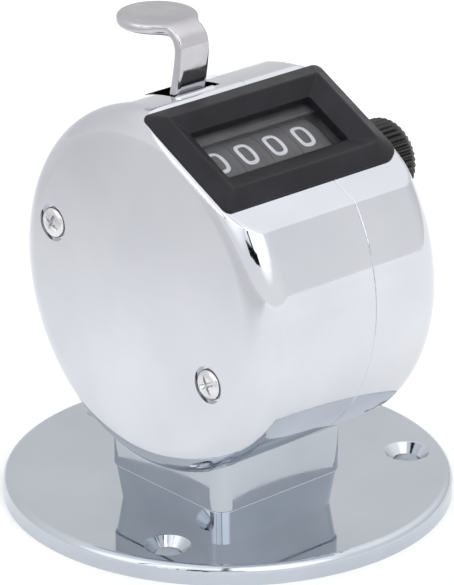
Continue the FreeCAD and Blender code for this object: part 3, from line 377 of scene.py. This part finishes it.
# flat ribbon round the wheel: centre line, half a stroke to each side, ends rounded as half circles
def strokeRibbon(points, closed, wheelX, digit):
    line = smoothStroke(points, closed) * (figures["width"], figures["height"])
    if closed:
        line = np.vstack([line, line[:1]])
    length = np.concatenate([[0], np.cumsum(np.linalg.norm(np.diff(line, axis=0), axis=1))])
    end = length[-1]
    count = figures["steps"]
    share = np.arange(count) / count if closed else 0.5 - 0.5 * np.cos(np.linspace(0, math.pi, count))
    along = share * end
    ahead, behind = along + figures["probe"], along - figures["probe"]
    if closed:
        ahead, behind = ahead % end, behind % end
    x, y = np.interp(along, length, line[:, 0]), np.interp(along, length, line[:, 1])
    dx = np.interp(ahead, length, line[:, 0]) - np.interp(behind, length, line[:, 0])
    dy = np.interp(ahead, length, line[:, 1]) - np.interp(behind, length, line[:, 1])
    norm = np.maximum(np.hypot(dx, dy), tiny)
    half = np.full(count, figures["stroke"] / 2)
    if not closed:
        fromEnd = np.minimum(along, end - along) / half
        half = half * np.sqrt(np.maximum(1 - np.clip(1 - fromEnd, 0, 1) ** 2, figures["leastEnd"]))
    sideX, sideY = -dy / norm * half, dx / norm * half
    top, edge, sunk = figures["proud"], figures["proud"] * figures["edgeShare"], figures["sunk"]
    across = np.array([1, figures["topShare"], -figures["topShare"], -1, -1, 1])
    radius = wheelRadius + np.array([edge, top, top, edge, -sunk, -sunk])
    middle = math.radians(figures["zeroAngle"] + figures["nextAngle"] * digit)
    angle = middle - (y[:, None] + sideY[:, None] * across) / wheelRadius
    ribbonX = wheelX + x[:, None] + sideX[:, None] * across
    ribbonY, ribbonZ = wheelAxis[0] + radius * np.cos(angle), wheelAxis[1] + radius * np.sin(angle)
    return np.stack([ribbonX, ribbonY, ribbonZ], axis=-1)


# the ten figures of one wheel as one piece: a ribbon for each centre line, at the wheel's middle
def makeFigures(place):
    low, high = nodeBox("wheel_" + place)
    points, faces, start = [], [], 0
    for digit, lines in strokes.items():
        for closed, line in lines:
            ribbon = strokeRibbon(line, closed, (low[0] + high[0]) / 2, digit)
            count, around = ribbon.shape[:2]
            faces += (ringQuads(count, around, closed) + start).tolist()
            if not closed:
                faces += endFaces(start, count, around)
            points.append(ribbon.reshape(-1, 3))
            start += count * around
    return makePiece("figures_" + place, np.vstack(points), faces, materials["figureWhite"],
                     "wheel_" + place)


for place in ("thousands", "hundreds", "tens", "units"):
    makeFigures(place)
print("figures made")

# thumb lever, in millimetres: neck is the strip's middle as (y, z) from the drum's centre, up to the
# bend at bendY; bends are the roundings at the neck's points, at the bend and at the pad's back
thumbLow, thumbHigh = nodeBox("thumb_lever")
lever = {"padThickness": 1.2, "neckThickness": 1.45, "neckHalf": 2.3, "neckAside": -0.35, "slant": 0.7,
         "padRadius": 4.76, "shoulder": 1.2, "rim": 0.36, "rimPower": 0.8, "rimSteps": 9, "thinShare": 0.4,
         "neck": [(3.05, 18.3), (2.95, 20.2), (2.5, 23.6)], "bendY": 2.3, "bends": [0, 1.0, 2.0, 3.0, 0],
         "bendSteps": 24, "probe": 0.2, "neckRows": 100, "padRows": 34, "columns": 17}


# flat strip as s along it and half its width there: the neck's straight sides flare into the pad's circle
def leverPattern(centre):
    turn = np.linspace(0, math.pi / 2, lever["padRows"])
    neck = np.linspace(0, centre, lever["neckRows"])[:-1]
    s = np.concatenate([neck, centre + lever["padRadius"] * np.sin(turn)])
    pad = np.sqrt(np.maximum(lever["padRadius"] ** 2 - (s - centre) ** 2, 0))
    wider = pad - lever["neckHalf"]
    blend = np.clip(0.5 + 0.5 * wider / lever["shoulder"], 0, 1)
    joined = lever["neckHalf"] + wider * blend + lever["shoulder"] * blend * (1 - blend)
    return s, np.where(s < centre, joined, pad)


# the flat strip bent along its middle line, with a top, an underside and a rounded rim between them
def makeLever():
    padMiddle = thumbHigh[2] - drumCentre[2] - lever["padThickness"] / 2
    padBack = thumbHigh[1] - drumCentre[1]
    route = lever["neck"] + [(lever["bendY"], padMiddle), (padBack, padMiddle)]
    route = np.array([[(0.0, y, z)] for y, z in route])
    line = softenRings(route, lever["bends"], steps=lever["bendSteps"])[:, 0, 1:]
    length = np.concatenate([[0], np.cumsum(np.linalg.norm(np.diff(line, axis=0), axis=1))])
    centre = length[-1] - lever["padRadius"]
    middleX = (thumbLow[0] + thumbHigh[0]) / 2 - drumCentre[0]
    s, half = leverPattern(centre)
    outline = np.concatenate([np.stack([s, half], 1), np.stack([s, -half], 1)[::-1]])
    tangent = np.roll(outline, -1, axis=0) - np.roll(outline, 1, axis=0)
    tangent /= np.maximum(np.linalg.norm(tangent, axis=1, keepdims=True), tiny)
    outward = np.stack([-tangent[:, 1], tangent[:, 0]], 1)

    # flat point to the bent strip: side is -1 to 1 through the sheet, which thins from neck to pad
    def bend(flat, side):
        along = flat[..., 0]
        share = np.clip((centre - along) / (centre - lever["padRadius"] * lever["thinShare"]), 0, 1)
        ease = share * share * (3 - 2 * share)
        thicker = lever["neckThickness"] - lever["padThickness"]
        height = side * (lever["padThickness"] + thicker * ease) / 2
        ahead, behind = along + lever["probe"], along - lever["probe"]
        y, z = np.interp(along, length, line[:, 0]), np.interp(along, length, line[:, 1])
        ty = np.interp(ahead, length, line[:, 0]) - np.interp(behind, length, line[:, 0])
        tz = np.interp(ahead, length, line[:, 1]) - np.interp(behind, length, line[:, 1])
        norm = np.maximum(np.hypot(ty, tz), tiny)
        aside = lever["neckAside"] * ease + lever["slant"] * ease * (1 - ease) * 2
        x = middleX + flat[..., 1] + aside
        return drumCentre + np.stack([x, y - height * tz / norm, z + height * ty / norm], -1)

    rims = []
    for angle in np.linspace(-math.pi / 2, math.pi / 2, lever["rimSteps"]):
        inset = lever["rim"] * (math.cos(angle) - 1)
        side = math.copysign(abs(math.sin(angle)) ** lever["rimPower"], angle)
        rims.append(bend(outline + outward * inset, side))
    rims = np.array(rims)
    rows, columns = len(s), lever["columns"]
    inner = outline - outward * lever["rim"]
    right, left = inner[:rows], inner[rows:][::-1]
    across = np.linspace(0, 1, columns)[None, :, None]
    sheet = left[:, None] * (1 - across) + right[:, None] * across
    start = rims.shape[0] * rims.shape[1]
    faces = ringQuads(*rims.shape[:2]).tolist()
    faces += (gridQuads(rows, columns) + start).tolist()
    faces += (gridQuads(rows, columns) + start + rows * columns).tolist()
    points = np.vstack([rims.reshape(-1, 3), bend(sheet, 1).reshape(-1, 3), bend(sheet, -1).reshape(-1, 3)])
    return makePiece("thumbLever", points, faces, materials["leverChrome"], "lever",
                     ("thumb_lever",))


makeLever()
print("lever made")

# reset knob, in millimetres; the rows run outwards from the case as (end of the knob, distance past that
# end, loss of radius, share of the ridges' depth, rounding)
knobLow, knobHigh = nodeBox("reset_knob")
knob = {"ridges": 38, "ridgeDepth": 0.5, "valleyPower": 0.8, "radius": 4.9, "ridgeSteps": 10, "softSteps": 5,
        "rows": [("near", 0.0, 1.3, 0, 0.1), ("near", 0.0, 0.55, 0.2, 0.2), ("near", 0.5, 0.0, 1, 0.3),
                 ("far", -0.8, 0.0, 1, 0.5), ("far", 0.0, 0.75, 0.15, 0.35), ("far", 0.0, 2.0, 0, 0.15),
                 ("far", -0.5, 2.25, 0, 0.15), ("far", -0.5, 4.1, 0, 0.1)]}


# a ridged circle carried along the shaft, with softened ends and a shallow dish
def makeKnob():
    ends = {"near": knobLow[0], "far": knobHigh[0]}
    count = knob["ridges"] * knob["ridgeSteps"]
    angle = np.arange(count) * 2 * math.pi / count
    valley = (0.5 - 0.5 * np.cos(angle * knob["ridges"])) ** knob["valleyPower"]
    rings = []
    for end, past, loss, share, _ in knob["rows"]:
        reach = knob["radius"] - loss - knob["ridgeDepth"] * share * valley
        y, z = wheelAxis[0] + reach * np.cos(angle), wheelAxis[1] + reach * np.sin(angle)
        rings.append(np.stack([np.full(count, ends[end] + past), y, z], axis=-1))
    rings = softenRings(rings, [soft for *_, soft in knob["rows"]], steps=knob["softSteps"])
    return ringSolid("resetKnob", rings, materials["knobPlastic"], "reset", ("reset_knob",))


makeKnob()
print("knob made")

# casing screws, in millimetres; turns are the angles of their cross slots, in degrees
screwLow, screwHigh = nodeBox("casing_screws")
screw = {"headRadius": 1.9, "headHeight": 0.9, "edgePower": 4.5, "domePower": 1 / 3, "crown": 0.01,
         "shankRadius": 1.0, "tip": 0.3, "armHalf": 0.2, "armReach": 1.1, "recess": 0.6, "wall": 0.14,
         "turns": (24.0, 62.0), "rings": 44, "ringPower": 0.8, "around": 128}


# one arm of the cross slot: 1 inside it, 0 outside, with sloping walls
def slotArm(long, wide):
    inside = (screw["armHalf"] - np.abs(wide)) / screw["wall"] + 0.5
    within = (screw["armReach"] - np.abs(long)) / (screw["wall"] * 2) + 0.5
    return np.clip(np.minimum(inside, within), 0, 1)


# a domed head whose height falls away in a cross, on a plain shank
def makeScrews():
    span = (screwHigh - screwLow)[1:] / 2 - screw["headRadius"]
    middle = (screwHigh + screwLow)[1:] / 2
    around = screw["around"]
    r = np.linspace(0, 1, screw["rings"])[:, None] ** screw["ringPower"] * screw["headRadius"]
    angle = np.arange(around)[None, :] * 2 * math.pi / around
    p, q = r * np.cos(angle), r * np.sin(angle)
    falloff = (1 - (r / screw["headRadius"]) ** screw["edgePower"]) ** screw["domePower"]
    dome = screw["headHeight"] * falloff - screw["crown"] * r ** 2
    height = np.maximum(dome - screw["recess"] * np.maximum(slotArm(p, q), slotArm(q, p)), 0)
    seat, tip = screwLow[0] + screw["headHeight"], screw["tip"]
    shank = [(seat, screw["shankRadius"]), (screwHigh[0] - tip, screw["shankRadius"]),
             (screwHigh[0], screw["shankRadius"] - tip)]
    points, faces, start = [], [], 0
    for sign, turn in zip((1, -1), screw["turns"]):
        c, s = math.cos(math.radians(turn)), math.sin(math.radians(turn))
        y, z = middle + sign * span
        rings = list(np.stack([seat - height, y + p * c - q * s, z + p * s + q * c], -1))
        for x, radius in shank:
            ringY, ringZ = y + radius * np.cos(angle[0]), z + radius * np.sin(angle[0])
            rings.append(np.stack([np.full(around, x), ringY, ringZ], -1))
        faces += (ringQuads(len(rings), around) + start).tolist()
        faces.append(endFaces(start, len(rings), around)[1])
        points += rings
        start += len(rings) * around
    return makePiece("casingScrews", np.vstack(points), faces, materials["screwPlating"], "case",
                     ("casing_screws",))


makeScrews()
print("screws made")

# camera: angles in degrees, its lens in millimetres, and distance, aim and clip in metres
cameraSetup = {"azimuth": -41.85, "elevation": 22.86, "distance": 0.4791, "aim": (0.0, 0.0, 0.0237),
               "lens": 244.9, "shiftX": -0.0013, "shiftY": 0.0243, "clip": (0.01, 20.0)}


# unit vector from its azimuth and elevation in degrees; azimuth 0 is the front, and it grows to the right
def direction(azimuth, elevation):
    a, e = math.radians(azimuth), math.radians(elevation)
    return Vector((math.sin(a) * math.cos(e), -math.cos(a) * math.cos(e), math.sin(e)))


# the camera stands at its distance from the aim, along its direction, and looks back at the aim
def makeCamera():
    data = bpy.data.cameras.new("camera")
    camera = bpy.data.objects.new("camera", data)
    bpy.context.collection.objects.link(camera)
    back = direction(cameraSetup["azimuth"], cameraSetup["elevation"])
    camera.location = Vector(cameraSetup["aim"]) + back * cameraSetup["distance"]
    camera.rotation_mode = "QUATERNION"
    camera.rotation_quaternion = (-back).to_track_quat("-Z", "Y")
    data.lens = cameraSetup["lens"]
    data.shift_x, data.shift_y = cameraSetup["shiftX"], cameraSetup["shiftY"]
    data.clip_start, data.clip_end = cameraSetup["clip"]
    bpy.context.scene.camera = camera


# brightness of the surroundings: a back-to-front run, a lift overhead, and soft brighter patches
# a span is the two cosines between which the brightness changes; inner and outer are in degrees
surround = {"back": 0.80, "front": 1.06, "frontSpan": (-1.0, 0.6),
            "overhead": 0.20, "overheadSpan": (0.35, 1.0)}
softPatches = [
    {"azimuth": -16, "elevation": 42, "inner": 14, "outer": 34, "lift": 0.9},
    {"azimuth": -92, "elevation": 40, "inner": 12, "outer": 34, "lift": 0.7},
    {"azimuth": 98, "elevation": 55, "inner": 10, "outer": 45, "lift": 0.25},
]


# smooth step of how far a place lies towards a direction: span is where it changes, results its two ends
def smoothTowards(tree, place, towards, span, results):
    dot = tree.nodes.new("ShaderNodeVectorMath")
    dot.operation = "DOT_PRODUCT"
    dot.inputs[1].default_value = towards
    tree.links.new(place, dot.inputs[0])
    spread = tree.nodes.new("ShaderNodeMapRange")
    spread.interpolation_type = "SMOOTHSTEP"
    spread.inputs["From Min"].default_value, spread.inputs["From Max"].default_value = span
    spread.inputs["To Min"].default_value, spread.inputs["To Max"].default_value = results
    tree.links.new(dot.outputs["Value"], spread.inputs["Value"])
    return spread.outputs["Result"]


# the world's strength is the sum of the run, the lift overhead and the patches
def makeWorld():
    world = bpy.data.worlds.new("studioWorld")
    bpy.context.scene.world = world
    world.use_nodes = True
    tree = world.node_tree
    background = tree.nodes["Background"]
    background.inputs["Color"].default_value = (1.0, 1.0, 1.0, 1.0)
    place = tree.nodes.new("ShaderNodeTexCoord").outputs["Generated"]
    front = direction(cameraSetup["azimuth"], 0)
    total = smoothTowards(tree, place, front, surround["frontSpan"], (surround["back"], surround["front"]))
    lifts = [smoothTowards(tree, place, (0, 0, 1), surround["overheadSpan"], (0.0, surround["overhead"]))]
    for soft in softPatches:
        towards = direction(soft["azimuth"], soft["elevation"])
        span = (math.cos(math.radians(soft["outer"])), math.cos(math.radians(soft["inner"])))
        lifts.append(smoothTowards(tree, place, towards, span, (0.0, soft["lift"])))
    for lift in lifts:
        add = tree.nodes.new("ShaderNodeMath")
        tree.links.new(total, add.inputs[0])
        tree.links.new(lift, add.inputs[1])
        total = add.outputs["Value"]
    tree.links.new(total, background.inputs["Strength"])


# floor and dark cards: sizes in metres, angles in degrees; the camera doesn't see the cards themselves
# the floor's painted shade: where it starts and ends in metres, how dark it gets, and its direction in
# degrees
floor = {"size": 6.0, "paintedShadeSpan": (0.045, 0.150), "paintedShadeTone": 0.70, "paintedShadeTowards": -128.0,
         "paper": {"tones": ((0.93, 0.93, 0.93), (0.96, 0.96, 0.96)), "clouds": 12, "metal": 0.0,
                   "rough": (0.7, 0.9), "smudges": 60, "relief": [("noise", 900, (1, 1, 1), 0.004)]}}
cardLook = {"tones": ((0.004, 0.004, 0.004), (0.008, 0.008, 0.008)), "clouds": 30, "metal": 0.0,
            "rough": (0.8, 0.95), "smudges": 60, "shine": 0.1, "relief": [("noise", 500, (1, 1, 1), 0.01)]}
darkCards = [
    {"name": "darkSlit", "azimuth": -43, "width": 5.0, "low": 20, "high": 76, "distance": 0.95},
    {"name": "darkHood", "azimuth": -46, "width": 24.0, "low": 19, "high": 27, "distance": 0.90},
    {"name": "darkSeam", "azimuth": -86, "width": 2.2, "low": 24, "high": 70, "distance": 0.95},
]


# flat sheet of the studio between four corners, which are in metres
def makeSheet(name, corners, material):
    mesh = bpy.data.meshes.new(name)
    mesh.from_pydata(corners, [], [(0, 1, 2, 3)])
    mesh.materials.append(material)
    sheet = bpy.data.objects.new(name, mesh)
    bpy.context.collection.objects.link(sheet)
    return sheet


# painted shade: the floor's paper keeps its tone near the object, and is painted darker behind and to the
# left, in place of light falling off there
def paintFloorShade(material):
    tree = material.node_tree
    shader = tree.nodes["Principled BSDF"]
    paper = shader.inputs["Base Color"].links[0].from_socket
    place = tree.nodes.new("ShaderNodeTexCoord").outputs["Object"]
    # painted shade: the paper's tone is scaled down away from the object, behind and to the left
    towards = direction(floor["paintedShadeTowards"], 0)
    tone = smoothTowards(tree, place, towards, floor["paintedShadeSpan"], (1.0, floor["paintedShadeTone"]))
    dim = tree.nodes.new("ShaderNodeVectorMath")
    dim.operation = "SCALE"
    tree.links.new(paper, dim.inputs[0])
    tree.links.new(tone, dim.inputs["Scale"])
    tree.links.new(dim.outputs["Vector"], shader.inputs["Base Color"])


# a square floor, and cards whose corners lie at their angles and distance from the origin
def makeStudio():
    floorPaper = makeFinish("floorPaper", floor["paper"])
    paintFloorShade(floorPaper)
    cardBlack = makeFinish("cardBlack", cardLook)
    half = floor["size"] / 2
    makeSheet("floor", [(-half, -half, 0), (half, -half, 0), (half, half, 0), (-half, half, 0)], floorPaper)
    for card in darkCards:
        left, right = card["azimuth"] - card["width"] / 2, card["azimuth"] + card["width"] / 2
        places = [(left, card["low"]), (right, card["low"]), (right, card["high"]), (left, card["high"])]
        corners = [tuple(direction(*place) * card["distance"]) for place in places]
        sheet = makeSheet(card["name"], corners, cardBlack)
        sheet.visible_camera = False


makeCamera()
makeWorld()
makeStudio()
bpy.context.scene.view_settings.view_transform = "Standard"
print("studio made")
